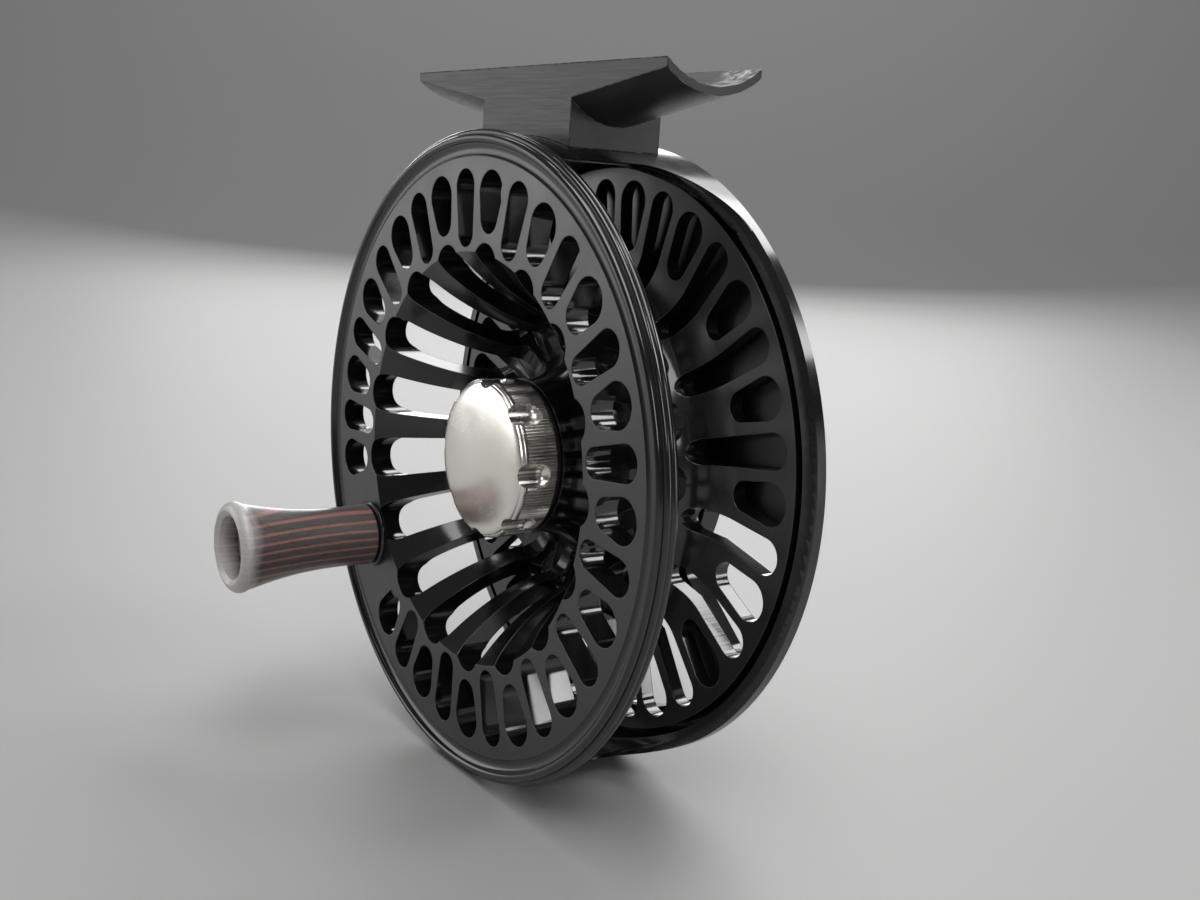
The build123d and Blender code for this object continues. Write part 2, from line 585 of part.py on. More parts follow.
# ---------------------------------------------------------------- drag
with BuildPart() as drag_housing:
    add(turned((CUP_RADIUS, CUP_FRONT), (HOUSING_BORE_RADIUS, CUP_FRONT), (HOUSING_BORE_RADIUS, PLATE_BACK),
               (HOUSING_FLANGE_RADIUS, PLATE_BACK), (HOUSING_FLANGE_RADIUS, PLATE_BACK + HOUSING_FLANGE_WEB),
               (HOUSING_CUP_ROOT, PLATE_BACK + HOUSING_FLANGE_WEB), (HOUSING_CUP_RADIUS, HOUSING_BACK),
               (REAR_BOSS_RADIUS, HOUSING_BACK), (REAR_BOSS_RADIUS, REAR_BOSS_BACK),
               (SPINDLE_RADIUS, REAR_BOSS_BACK), (SPINDLE_RADIUS, CUP_FLOOR), (CUP_RADIUS, CUP_FLOOR)))
    with BuildSketch(station(PLATE_BACK - 1)):
        with PolarLocations(HOUSING_SCREW_CIRCLE, HOUSING_SCREW_COUNT):
            Circle(HOUSING_SCREW_RADIUS + 0.1)
    extrude(amount=-(HOUSING_FLANGE_WEB + 2), mode=Mode.SUBTRACT)
    with BuildSketch(station(CUP_FLOOR - 1)):
        with PolarLocations(PUSH_PIN_CIRCLE, 3, start_angle=60):
            Circle(PUSH_PIN_RADIUS + 0.05)
    extrude(amount=-4, mode=Mode.SUBTRACT)
save(drag_housing, "drag_housing")

with BuildPart() as housing_screws:
    with BuildSketch(station(PLATE_FRONT)):
        with PolarLocations(HOUSING_SCREW_CIRCLE, HOUSING_SCREW_COUNT):
            Circle(HOUSING_SCREW_RADIUS)
    extrude(amount=-(PLATE_BACK - PLATE_FRONT + HOUSING_FLANGE_WEB))
    with BuildSketch(station(PLATE_BACK + HOUSING_FLANGE_WEB)):
        with PolarLocations(HOUSING_SCREW_CIRCLE, HOUSING_SCREW_COUNT):
            Circle(HOUSING_SCREW_HEAD_RADIUS)
    extrude(amount=-HOUSING_SCREW_HEAD_HEIGHT)
    with BuildSketch(station(PLATE_BACK + HOUSING_FLANGE_WEB + HOUSING_SCREW_HEAD_HEIGHT / 3)):
        with PolarLocations(HOUSING_SCREW_CIRCLE, HOUSING_SCREW_COUNT):
            RegularPolygon(HOUSING_SCREW_HEAD_RADIUS / 2, 6)
    extrude(amount=-HOUSING_SCREW_HEAD_HEIGHT, mode=Mode.SUBTRACT)
save(housing_screws, "housing_screws")

SPINDLE_FRONT = 4.4
SPINDLE_LEAD = 0.3
SPINDLE_SHOULDER = 13.4
SPINDLE_BACK = 40.0
NUT_FLAT_RADIUS = 4.2
NUT_THICKNESS = 1.9
with BuildPart() as spindle:
    add(turned((0, SPINDLE_FRONT), (SPINDLE_TIP_RADIUS - SPINDLE_LEAD, SPINDLE_FRONT),
               (SPINDLE_TIP_RADIUS, SPINDLE_FRONT + SPINDLE_LEAD), (SPINDLE_TIP_RADIUS, SPINDLE_SHOULDER),
               (SPINDLE_RADIUS, SPINDLE_SHOULDER), (SPINDLE_RADIUS, REAR_BOSS_BACK),
               (SPINDLE_TIP_RADIUS, REAR_BOSS_BACK), (SPINDLE_TIP_RADIUS, SPINDLE_BACK), (0, SPINDLE_BACK)))
save(spindle, "spindle")

with BuildPart() as spindle_nut:
    with BuildSketch(station(REAR_BOSS_BACK)):
        RegularPolygon(NUT_FLAT_RADIUS, 6, major_radius=False)
        Circle(SPINDLE_TIP_RADIUS, mode=Mode.SUBTRACT)
    extrude(amount=-NUT_THICKNESS)
save(spindle_nut, "spindle_nut")

# Rotor: the clutch runs on its front sleeve, the carbon discs are keyed to its rear one.
with BuildPart() as drag_rotor:
    bore = SPINDLE_RADIUS + RUNNING_CLEARANCE
    add(turned((bore, CLUTCH_FRONT), (ROTOR_RADIUS, CLUTCH_FRONT), (ROTOR_RADIUS, DISC_FRONT),
               (KEY_RADIUS, DISC_FRONT), (KEY_RADIUS, ROTOR_BACK), (bore, ROTOR_BACK)))
save(drag_rotor, "drag_rotor")

STACK_STEP = CARBON_WEB + STEEL_WEB + 2 * DISC_GAP
with BuildPart() as carbon_discs:
    for count in range(CARBON_DISC_COUNT):
        front = DISC_FRONT + count * STACK_STEP
        add(ring(KEY_RADIUS, CARBON_DISC_RADIUS, front, front + CARBON_WEB))
save(carbon_discs, "carbon_discs")

with BuildPart() as steel_discs:
    for count in range(CARBON_DISC_COUNT - 1):
        front = DISC_FRONT + CARBON_WEB + DISC_GAP + count * STACK_STEP
        add(ring(STEEL_DISC_BORE, CUP_RADIUS, front, front + STEEL_WEB))
save(steel_discs, "steel_discs")

PRESSURE_PLATE_FRONT = DISC_FRONT + (CARBON_DISC_COUNT - 1) * STACK_STEP + CARBON_WEB + DISC_GAP
PRESSURE_PLATE_BACK = PRESSURE_PLATE_FRONT + PRESSURE_PLATE_WEB
with BuildPart() as pressure_plate:
    add(ring(PRESSURE_PLATE_BORE, CUP_RADIUS, PRESSURE_PLATE_FRONT, PRESSURE_PLATE_BACK))
save(pressure_plate, "pressure_plate")

# Two cone springs back to back.
with BuildPart() as cone_springs:
    inner, outer = CONE_SPRING_RADII
    low = PRESSURE_PLATE_BACK
    high = CUP_FLOOR
    middle = (low + high) / 2
    add(turned((inner, low + CONE_SPRING_RISE), (outer, low), (outer, low + CONE_SPRING_WEB),
               (inner, middle)))
    add(turned((inner, middle), (outer, high - CONE_SPRING_WEB), (outer, high),
               (inner, high - CONE_SPRING_RISE)))
save(cone_springs, "cone_springs")

with BuildPart() as drag_cover:
    cover_back = DISC_FRONT - DISC_GAP
    add(turned((STEEL_DISC_BORE, CUP_FRONT), (CUP_RADIUS, CUP_FRONT), (CUP_RADIUS, cover_back),
               (COVER_LIP_RADIUS, cover_back), (COVER_LIP_RADIUS, COVER_LIP_FRONT),
               (STEEL_DISC_BORE, COVER_LIP_FRONT)))
save(drag_cover, "drag_cover")

with BuildPart() as drag_seal:
    with BuildSketch(SECTION):
        seal_radius = (ROTOR_RADIUS + STEEL_DISC_BORE) / 2 + SEAL_FIT
        with Locations((seal_radius, CUP_FRONT + SEAL_HALF_WIDTH + SEAL_FIT)):
            Ellipse((STEEL_DISC_BORE - ROTOR_RADIUS) / 2 - SEAL_FIT, SEAL_HALF_WIDTH)
    revolve(axis=SPOOL_AXIS)
save(drag_seal, "drag_seal")

with BuildPart() as push_pins:
    with BuildSketch(station(CUP_FLOOR)):
        with PolarLocations(PUSH_PIN_CIRCLE, 3, start_angle=60):
            Circle(PUSH_PIN_RADIUS)
    extrude(amount=-(HOUSING_BACK - CUP_FLOOR + 0.4))
save(push_pins, "push_pins")

# ---------------------------------------------------------------- knobs


def scallops(radius, front, back_centre, count, into_front):
    """Round-bottomed flutes along the rim of a knob, open at one end and bull-nosed at the other."""
    direction = 1 if into_front else -1
    length = abs(back_centre - front) + 2
    with BuildPart() as flutes:
        with BuildSketch(station(back_centre)):
            with PolarLocations(radius, count, SCALLOP_START):
                Circle(SCALLOP_RADIUS)
        extrude(amount=direction * length)
        with Locations(station(back_centre)):
            with PolarLocations(radius, count, SCALLOP_START):
                Sphere(SCALLOP_RADIUS)
    return flutes.part


with BuildPart() as spool_knob:
    with BuildSketch(KNOB_SECTION):
        with BuildLine():
            bore = SPINDLE_TIP_RADIUS + RUNNING_CLEARANCE
            lip_end = (KNOB_RADIUS - KNOB_LIP, KNOB_FACE)
            Polyline((0, KNOB_FACE - KNOB_DOME), (0, KNOB_BLIND), (bore, KNOB_BLIND), (bore, KNOB_BACK),
                     (KNOB_RADIUS - KNOB_BEVEL, KNOB_BACK), (KNOB_RADIUS, KNOB_BACK - KNOB_BEVEL),
                     (KNOB_RADIUS, KNOB_FACE + KNOB_LIP))
            RadiusArc((KNOB_RADIUS, KNOB_FACE + KNOB_LIP), lip_end, KNOB_LIP)
            ThreePointArc(lip_end, (KNOB_RADIUS / 2, KNOB_FACE - KNOB_DOME * 0.75),
                          (0, KNOB_FACE - KNOB_DOME))
        make_face()
    revolve(axis=SPOOL_AXIS)
    add(scallops(SCALLOP_CENTRE, KNOB_FACE, SCALLOP_END, SCALLOP_COUNT, True), mode=Mode.SUBTRACT)
save(spool_knob, "spool_knob")

with BuildPart() as knob_ring:
    add(ring(SPINDLE_TIP_RADIUS + RUNNING_CLEARANCE, KNOB_RING_RADIUS, KNOB_BACK + 0.02, HUB_FRONT - 0.15))
save(knob_ring, "knob_ring")

with BuildPart() as drag_knob:
    with BuildSketch(KNOB_SECTION):
        with BuildLine():
            boss_bore = REAR_BOSS_RADIUS + 0.05
            pocket_radius, pocket_front, pocket_back = NUT_POCKET
            Polyline((CAP_STEM_RADIUS, DRAG_KNOB_BACK), (CAP_STEM_RADIUS, pocket_back),
                     (pocket_radius, pocket_back), (pocket_radius, pocket_front), (boss_bore, pocket_front),
                     (boss_bore, DRAG_KNOB_FRONT), (DRAG_KNOB_RADIUS - KNOB_BEVEL, DRAG_KNOB_FRONT),
                     (DRAG_KNOB_RADIUS, DRAG_KNOB_FRONT + KNOB_BEVEL),
                     (DRAG_KNOB_RADIUS, DRAG_KNOB_BACK - KNOB_LIP),
                     (DRAG_KNOB_RADIUS - KNOB_LIP, DRAG_KNOB_BACK), close=True)
        make_face()
    revolve(axis=SPOOL_AXIS)
    add(scallops(DRAG_KNOB_RADIUS + 1.0, DRAG_KNOB_BACK, DRAG_SCALLOP_END, SCALLOP_COUNT, False),
        mode=Mode.SUBTRACT)
    # blind pocket of the detent
    with BuildSketch(station(DRAG_KNOB_FRONT - 1)):
        with Locations((0, DETENT_CIRCLE)):
            Circle(DETENT_POCKET_RADIUS)
    extrude(amount=-4.6, mode=Mode.SUBTRACT)
save(drag_knob, "drag_knob")

with BuildPart() as drag_knob_cap:
    stem = CAP_STEM_RADIUS - 0.05
    add(turned((0, CAP_STEM_FRONT), (stem, CAP_STEM_FRONT), (stem, DRAG_KNOB_BACK),
               (CAP_RADIUS, DRAG_KNOB_BACK), (CAP_RADIUS - 0.4, DRAG_KNOB_BACK + CAP_HEIGHT - 0.2),
               (0, DRAG_KNOB_BACK + CAP_HEIGHT)))
save(drag_knob_cap, "drag_knob_cap")

with BuildPart() as detent_ball:
    with Locations(station(DRAG_KNOB_FRONT + 0.1)):
        with Locations((0, DETENT_CIRCLE)):
            Sphere(DETENT_BALL_RADIUS)
save(detent_ball, "detent_ball")


def coil(radius, wire_radius, pitch, turns):
    """Round-wire coil about local Z, rising from its lower end."""
    with BuildPart() as spring:
        with BuildLine() as path:
            Helix(pitch=pitch, height=pitch * turns, radius=radius)
        with BuildSketch(Plane(origin=path.line @ 0, z_dir=path.line % 0)):
            Circle(wire_radius)
        sweep(is_frenet=True)
    return spring.part


with BuildPart() as detent_spring:
    with Locations(Location(station(DRAG_KNOB_FRONT + 3.4))):
        with Locations((0, DETENT_CIRCLE, 0)):
            add(coil(0.52, 0.12, 0.5, 4.5))
save(detent_spring, "detent_spring")

# ---------------------------------------------------------------- clicker
PAWL_FRONT = GEAR_FRONT + 0.1
PAWL_WEB = 1.2
PAWL_TIP_RADIUS = GEAR_RADIUS + 0.25
with BuildSketch() as pawl_outline:
    with BuildLine():
        Polyline((PAWL_TIP_RADIUS, -0.2), (PAWL_TIP_RADIUS, 0.2), (PAWL_PIVOT_RADIUS - 1, 1.6),
                 (PAWL_PIVOT_RADIUS - 1, -1.6), close=True)
    make_face()
    with Locations((PAWL_PIVOT_RADIUS, 0)):
        Circle(1.9)
        Circle(PAWL_PIN_RADIUS + RUNNING_CLEARANCE, mode=Mode.SUBTRACT)
    # short tail that the spring bears on
    with Locations((PAWL_PIVOT_RADIUS + 2.4, 0)):
        Rectangle(1.8, 1.2)

with BuildPart() as click_pawl:
    with BuildSketch(station(PAWL_FRONT)):
        with Locations(Location((0, 0, 0), (0, 0, PAWL_ANGLE))):
            add(pawl_outline.sketch)
    extrude(amount=-PAWL_WEB)
save(click_pawl, "click_pawl")

with BuildPart() as pawl_pin:
    with BuildSketch(station(PAWL_FRONT - 0.1)):
        with PolarLocations(PAWL_PIVOT_RADIUS, 1, start_angle=PAWL_ANGLE):
            Circle(PAWL_PIN_RADIUS)
    extrude(amount=-(PLATE_BACK - PAWL_FRONT + 0.1))
save(pawl_pin, "pawl_pin")

# Torsion spring round the pin, between the pawl and the plate.
with BuildPart() as pawl_spring:
    with Locations(Location(station(PLATE_FRONT - 0.2))):
        with PolarLocations(PAWL_PIVOT_RADIUS, 1, start_angle=PAWL_ANGLE):
            add(coil(1.4, 0.16, 0.4, 2.5))
save(pawl_spring, "pawl_spring")

# ---------------------------------------------------------------- winding handle


def handle_turned(*outline):
    return turned(*outline, plane=HANDLE_SECTION, axis=HANDLE_AXIS)


with BuildPart() as handle_post:
    add(handle_turned((0, FRONT_WEB), (POST_THREAD_RADIUS, FRONT_WEB), (POST_THREAD_RADIUS, 0),
                      (POST_RADIUS, 0), (POST_RADIUS, -POST_END), (HANDLE_SCREW_RADIUS, -POST_END),
                      (HANDLE_SCREW_RADIUS, -HANDLE_SCREW_DEPTH), (0, -HANDLE_SCREW_DEPTH)))
save(handle_post, "handle_post")

with BuildPart() as handle_washer:
    add(handle_turned((POST_RADIUS, 0), *WASHER_OUTLINE, (POST_RADIUS, WASHER_OUTLINE[-1][1])))
save(handle_washer, "handle_washer")

with BuildPart() as handle_bush:
    add(handle_turned((POST_RADIUS + RUNNING_CLEARANCE, -GRIP_BASE), (GRIP_BORE, -GRIP_BASE),
                      (GRIP_BORE, -GRIP_SEAT), (POST_RADIUS + RUNNING_CLEARANCE, -GRIP_SEAT)))
save(handle_bush, "handle_bush")

with BuildPart() as handle_screw:
    add(handle_turned((0, -HANDLE_SCREW_DEPTH), (HANDLE_SCREW_RADIUS, -HANDLE_SCREW_DEPTH),
                      (HANDLE_SCREW_RADIUS, -POST_END), (HANDLE_SCREW_HEAD[0][0], -POST_END),
                      *HANDLE_SCREW_HEAD))
    with BuildSketch(station(-HANDLE_SOCKET_FLOOR)):
        with Locations((HANDLE_X, HANDLE_Z)):
            RegularPolygon(HANDLE_SCREW_RADIUS, 6)
    extrude(amount=2, mode=Mode.SUBTRACT)
save(handle_screw, "handle_screw")

with BuildPart() as handle_grip:
    with BuildSketch(HANDLE_SECTION):
        with BuildLine():
            grip_base_corner = (GRIP_CORNER[0] - 0.5, -GRIP_BASE)
            Line((GRIP_BORE, -GRIP_BASE), grip_base_corner)
            RadiusArc(grip_base_corner, GRIP_CORNER, 0.5)
            Spline(GRIP_CORNER, *GRIP_WAIST, GRIP_SWELL)
            ThreePointArc(GRIP_SWELL, (6.6, -23.6), GRIP_END)
            Polyline(GRIP_END, (GRIP_MOUTH, 0.5 - HANDLE_LENGTH), (GRIP_MOUTH - 0.4, -GRIP_SEAT),
                     (GRIP_BORE, -GRIP_SEAT), (GRIP_BORE, -GRIP_BASE))
        make_face()
    revolve(axis=HANDLE_AXIS)
save(handle_grip, "handle_grip")
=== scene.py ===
import json
import math

import bmesh
import bpy
from mathutils import Matrix, Vector

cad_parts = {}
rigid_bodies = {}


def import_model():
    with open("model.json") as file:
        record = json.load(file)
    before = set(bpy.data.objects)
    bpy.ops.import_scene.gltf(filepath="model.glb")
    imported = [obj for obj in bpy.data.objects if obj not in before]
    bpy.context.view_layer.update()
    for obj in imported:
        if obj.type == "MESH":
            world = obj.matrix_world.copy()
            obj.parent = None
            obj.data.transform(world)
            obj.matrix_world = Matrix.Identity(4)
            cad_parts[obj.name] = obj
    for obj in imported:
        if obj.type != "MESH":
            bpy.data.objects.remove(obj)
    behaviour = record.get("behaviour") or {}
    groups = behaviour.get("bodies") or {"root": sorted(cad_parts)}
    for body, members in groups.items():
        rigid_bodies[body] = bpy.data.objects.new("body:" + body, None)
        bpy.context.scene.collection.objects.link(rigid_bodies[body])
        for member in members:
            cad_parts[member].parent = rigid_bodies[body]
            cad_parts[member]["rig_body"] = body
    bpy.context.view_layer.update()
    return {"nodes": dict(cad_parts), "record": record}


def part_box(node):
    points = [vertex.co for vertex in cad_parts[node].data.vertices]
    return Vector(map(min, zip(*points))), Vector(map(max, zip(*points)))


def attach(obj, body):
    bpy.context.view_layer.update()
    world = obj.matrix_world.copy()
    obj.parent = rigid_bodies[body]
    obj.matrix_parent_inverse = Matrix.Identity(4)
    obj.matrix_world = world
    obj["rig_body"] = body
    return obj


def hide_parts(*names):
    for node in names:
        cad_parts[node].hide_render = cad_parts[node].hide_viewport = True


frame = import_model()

MM = 0.001

# ---------------------------------------------------------------- places, from the frame


def middle(node):
    low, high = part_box(node)
    return (low + high) / 2


def radius_of(node):
    low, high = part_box(node)
    return (high.x - low.x) / 2


AXIS = middle("spindle")                     # on the spool axis; X and Z are what matter
FLOOR_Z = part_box("spool")[0].z               # the spool's rim is the lowest part of the reel
GRIP = middle("handle_grip")
FOOT_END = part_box("reel_foot")[1].x
FACE_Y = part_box("handle_washer")[1].y        # the washer lies on the spool's slotted face
AXIS_POINT = Vector((AXIS.x, FACE_Y, AXIS.z))

# The beaded rim lies outside this radius and in front of this depth.
RIM_INNER = 42.3 * MM
RIM_BACK = 3.4 * MM
RIM_BLEND = 0.1 * MM

# ---------------------------------------------------------------- camera, floor and light

CAMERA_FROM_AXIS = Vector((162.6, -94.2, 38.7)) * MM
VIEW_AZIMUTH = math.radians(54.13)
VIEW_ELEVATION = math.radians(10.91)
VIEW_ROLL = math.radians(3.71)
LENS_MM = 40.3
SENSOR_MM = 36.0


def add_camera():
    data = bpy.data.cameras.new("camera")
    data.lens = LENS_MM
    data.sensor_width = SENSOR_MM
    data.clip_start = 0.01
    data.clip_end = 20.0
    camera = bpy.data.objects.new("camera", data)
    bpy.context.scene.collection.objects.link(camera)
    a, e = VIEW_AZIMUTH, VIEW_ELEVATION
    back = Vector((math.sin(a) * math.cos(e), -math.cos(a) * math.cos(e), math.sin(e)))
    right = Vector((math.cos(a), math.sin(a), 0))
    up = back.cross(right)
    right_rolled = right * math.cos(VIEW_ROLL) + up * math.sin(VIEW_ROLL)
    up_rolled = -right * math.sin(VIEW_ROLL) + up * math.cos(VIEW_ROLL)
    turn = Matrix((right_rolled, up_rolled, back)).transposed().to_4x4()
    camera.matrix_world = Matrix.Translation(AXIS_POINT + CAMERA_FROM_AXIS) @ turn
    bpy.context.scene.camera = camera


def soft_box(name, place, size, radiance, aim=(0, 0.01, 0)):
    """A studio soft box of a given brightness, at a place relative to the spool's front, in metres."""
    data = bpy.data.lights.new(name, "AREA")
    data.shape = "RECTANGLE"
    data.size, data.size_y = size
    data.energy = radiance * math.pi * size[0] * size[1]
    lamp = bpy.data.objects.new(name, data)
    bpy.context.scene.collection.objects.link(lamp)
    lamp.location = AXIS_POINT + Vector(place)
    lamp.rotation_euler = (Vector(aim) - Vector(place)).to_track_quat("-Z", "Y").to_euler()
    lamp.visible_camera = False


STAGE_FLAT = 0.9             # radius of the flat middle of the floor, in metres
STAGE_EDGE = 2.2
STAGE_HEIGHT = 1.1
STAGE_SWEEP = 2.2            # power of the curve that the floor sweeps up along
STAGE_STEPS_OUT = 28
STAGE_STEPS_ROUND = 96
FLOOR_COLOUR = (0.34, 0.34, 0.335)
FLOOR_ROUGHNESS = 0.6
SKY_COLOUR = (0.92, 0.95, 1.0, 1)
SKY_STRENGTH = 0.14


def add_floor():
    """A round pale floor that sweeps up into a backdrop on every side."""
    vertices, faces = [(AXIS.x, AXIS.y, FLOOR_Z)], []
    for i in range(1, STAGE_STEPS_OUT + 1):
        share = i / STAGE_STEPS_OUT
        radius = STAGE_EDGE * share
        lift = max(0.0, (radius - STAGE_FLAT) / (STAGE_EDGE - STAGE_FLAT))
        for k in range(STAGE_STEPS_ROUND):
            turn = 2 * math.pi * k / STAGE_STEPS_ROUND
            vertices.append((AXIS.x + radius * math.cos(turn), AXIS.y + radius * math.sin(turn),
                             FLOOR_Z + STAGE_HEIGHT * lift ** STAGE_SWEEP))
    for k in range(STAGE_STEPS_ROUND):
        faces.append((0, 1 + k, 1 + (k + 1) % STAGE_STEPS_ROUND))
    for i in range(STAGE_STEPS_OUT - 1):
        for k in range(STAGE_STEPS_ROUND):
            a = 1 + i * STAGE_STEPS_ROUND + k
            b = 1 + i * STAGE_STEPS_ROUND + (k + 1) % STAGE_STEPS_ROUND
            faces.append((a, a + STAGE_STEPS_ROUND, b + STAGE_STEPS_ROUND, b))
    mesh = bpy.data.meshes.new("floor")
    mesh.from_pydata(vertices, [], faces)
    mesh.shade_smooth()
    floor = bpy.data.objects.new("floor", mesh)
    bpy.context.scene.collection.objects.link(floor)
    floor.data.materials.append(new_material("studio_floor", FLOOR_COLOUR, FLOOR_ROUGHNESS)[0])


def add_lights():
    world = bpy.data.worlds.new("studio")
    world.use_nodes = True
    sky = world.node_tree.nodes["Background"]
    sky.inputs["Color"].default_value = SKY_COLOUR
    sky.inputs["Strength"].default_value = SKY_STRENGTH
    bpy.context.scene.world = world
    bpy.context.scene.view_settings.view_transform = "Standard"
    soft_box("back_panel", (-0.80, 0.58, 0.25), (0.80, 0.26), 5.5)
    soft_box("high_back_panel", (-0.19, 0.46, 0.63), (0.55, 0.22), 7.0)
    soft_box("high_right_panel", (0.46, 0.46, 0.47), (0.30, 0.20), 7.0)
    soft_box("left_panel", (-0.62, -0.50, 0.14), (0.55, 0.46), 2.0)
    soft_box("overhead_panel", (0.16, -0.10, 0.72), (0.42, 0.95), 3.6)
    soft_box("right_panel", (0.72, -0.22, 0.30), (0.20, 0.26), 4.0)
    soft_box("right_strip", (0.62, 0.50, 0.06), (0.06, 0.24), 9.0)
    soft_box("backdrop_lamp", (-1.15, 0.83, 1.25), (1.3, 0.50), 2.6, (-1.35, 0.97, 0))


# ---------------------------------------------------------------- shader building blocks

BEVEL_SAMPLES = 6
EDGE_STARTS, EDGE_FULL = 0.985, 0.90         # cosines between the softened normal and the plain one


def new_material(name, colour, roughness, metallic=0.0):
    shade = bpy.data.materials.new(name)
    shade.use_nodes = True
    bsdf = shade.node_tree.nodes["Principled BSDF"]
    bsdf.inputs["Base Color"].default_value = (*colour, 1)
    bsdf.inputs["Roughness"].default_value = roughness
    bsdf.inputs["Metallic"].default_value = metallic
    return shade, bsdf


class Graph:
    """A thin layer over a node tree, so that each material reads as a few lines."""

    def __init__(self, shade):
        self.tree = shade.node_tree
        self.coords = self.node("ShaderNodeTexCoord")
        self.position = self.coords.outputs["Object"]
        self.normal = self.coords.outputs["Normal"]

    def node(self, kind, **settings):
        made = self.tree.nodes.new(kind)
        for key, value in settings.items():
            setattr(made, key, value)
        return made

    def feed(self, socket, value):
        if isinstance(value, bpy.types.NodeSocket):
            self.tree.links.new(value, socket)
        elif isinstance(value, (int, float)):
            socket.default_value = value
        else:
            socket.default_value = (*value, 1)[: len(socket.default_value)]

    def math(self, operation, a, b=0.0, clamp=False):
        made = self.node("ShaderNodeMath", operation=operation, use_clamp=clamp)
        self.feed(made.inputs[0], a)
        self.feed(made.inputs[1], b)
        return made.outputs[0]

    def vector(self, operation, a, b=(0, 0, 0)):
        made = self.node("ShaderNodeVectorMath", operation=operation)
        self.feed(made.inputs[0], a)
        self.feed(made.inputs[1], b)
        return made.outputs["Value" if operation in ("LENGTH", "DOT_PRODUCT") else "Vector"]

    def split(self, vector):
        made = self.node("ShaderNodeSeparateXYZ")
        self.feed(made.inputs[0], vector)
        return made.outputs

    def join(self, x, y, z):
        made = self.node("ShaderNodeCombineXYZ")
        for socket, value in zip(made.inputs, (x, y, z)):
            self.feed(socket, value)
        return made.outputs[0]

    def noise(self, vector, scale, detail=2.0, roughness=0.5):
        made = self.node("ShaderNodeTexNoise")
        self.feed(made.inputs["Vector"], vector)
        made.inputs["Scale"].default_value = scale
        made.inputs["Detail"].default_value = detail
        made.inputs["Roughness"].default_value = roughness
        return made.outputs["Fac"]

    def remap(self, value, low, high, to_low=0.0, to_high=1.0):
        made = self.node("ShaderNodeMapRange")
        self.feed(made.inputs["Value"], value)
        for key, number in zip(("From Min", "From Max", "To Min", "To Max"), (low, high, to_low, to_high)):
            self.feed(made.inputs[key], number)
        return made.outputs["Result"]

    def blend(self, factor, a, b):
        made = self.node("ShaderNodeMix", data_type="RGBA")
        self.feed(made.inputs["Factor"], factor)
        self.feed(made.inputs["A"], a)
        self.feed(made.inputs["B"], b)
        return made.outputs["Result"]

    def bump(self, height, strength, distance, normal=None):
        made = self.node("ShaderNodeBump")
        made.inputs["Strength"].default_value = strength
        made.inputs["Distance"].default_value = distance
        self.feed(made.inputs["Height"], height)
        if normal is not None:
            self.feed(made.inputs["Normal"], normal)
        return made.outputs["Normal"]

    def soft_edges(self, radius):
        made = self.node("ShaderNodeBevel", samples=BEVEL_SAMPLES)
        made.inputs["Radius"].default_value = radius
        return made.outputs["Normal"]

    def edge_mask(self, radius):
        """1 along outer and inner edges, 0 on open surfaces."""
        plain = self.node("ShaderNodeNewGeometry").outputs["Normal"]
        alike = self.vector("DOT_PRODUCT", self.soft_edges(radius), plain)
        return self.remap(alike, EDGE_STARTS, EDGE_FULL)

    def around_axis(self, centre=AXIS_POINT):
        """(radius, depth) about a line along Y through a point."""
        x, y, z = self.split(self.vector("SUBTRACT", self.position, tuple(centre)))
        return self.vector("LENGTH", self.join(x, 0, z)), y

    def facing_y(self):
        """1 on faces square to the spool axis, 0 on walls along it."""
        return self.math("ABSOLUTE", self.split(self.normal)[1])


def anodised(name, flat_roughness, wall_roughness, tone=0.005, edge_highlight_tone=0.12):
    """Black anodised aluminium: satin turned faces, polished walls with mill marks, thin edges lightened by
    a painted highlight.
    """
    shade, bsdf = new_material(name, (tone, tone, tone * 1.05), wall_roughness)
    g = Graph(shade)
    flat = g.remap(g.facing_y(), 0.80, 0.98)
    cloud = g.noise(g.position, 160, 3)
    base = g.blend(cloud, (tone * 0.8, tone * 0.8, tone * 0.85), (tone * 1.3, tone * 1.3, tone * 1.38))
    base = g.blend(g.math("MULTIPLY", flat, 0.7), base, (tone * 2.4, tone * 2.4, tone * 2.5))
    specks = g.remap(g.noise(g.position, 2600, 1), 0.80, 0.83)
    base = g.blend(g.math("MULTIPLY", specks, 0.35), base, (0.4, 0.4, 0.4))
    # the beaded rims are round already, so only the slotted parts inside them get softened edges with a
    # painted highlight along them
    radius = g.around_axis()[0]
    inside = g.remap(radius, RIM_INNER + RIM_BLEND, RIM_INNER - RIM_BLEND)
    edge = g.math("MULTIPLY", g.edge_mask(0.12 * MM), inside)
    # painted highlight: the base colour is lightened to an even grey along the edges inside the rim, in
    # place of light catching them
    g.feed(bsdf.inputs["Base Color"], g.blend(g.math("MULTIPLY", edge, 0.6), base, (edge_highlight_tone,) * 3))
    rough = g.remap(flat, 0, 1, wall_roughness, flat_roughness)
    g.feed(bsdf.inputs["Roughness"], g.math("ADD", rough, g.remap(cloud, 0.3, 0.7, -0.03, 0.04)))
    # mill marks on the walls run along the spool axis, turning marks on the faces run round it
    x, y, z = g.split(g.position)
    mill = g.noise(g.join(x, g.math("MULTIPLY", y, 0.03), z), 2600, 2, 0.6)
    turning = g.noise(g.join(radius, 0, 0), 5200, 1)
    marks = g.blend(flat, mill, g.math("MULTIPLY", turning, 0.5))
    marks = g.math("MULTIPLY", marks, inside)
    normal = g.blend(inside, g.node("ShaderNodeNewGeometry").outputs["Normal"], g.soft_edges(0.16 * MM))
    g.feed(bsdf.inputs["Normal"], g.bump(marks, 0.16, 0.03 * MM, normal))
    bsdf.inputs["IOR"].default_value = 1.72
    return shade


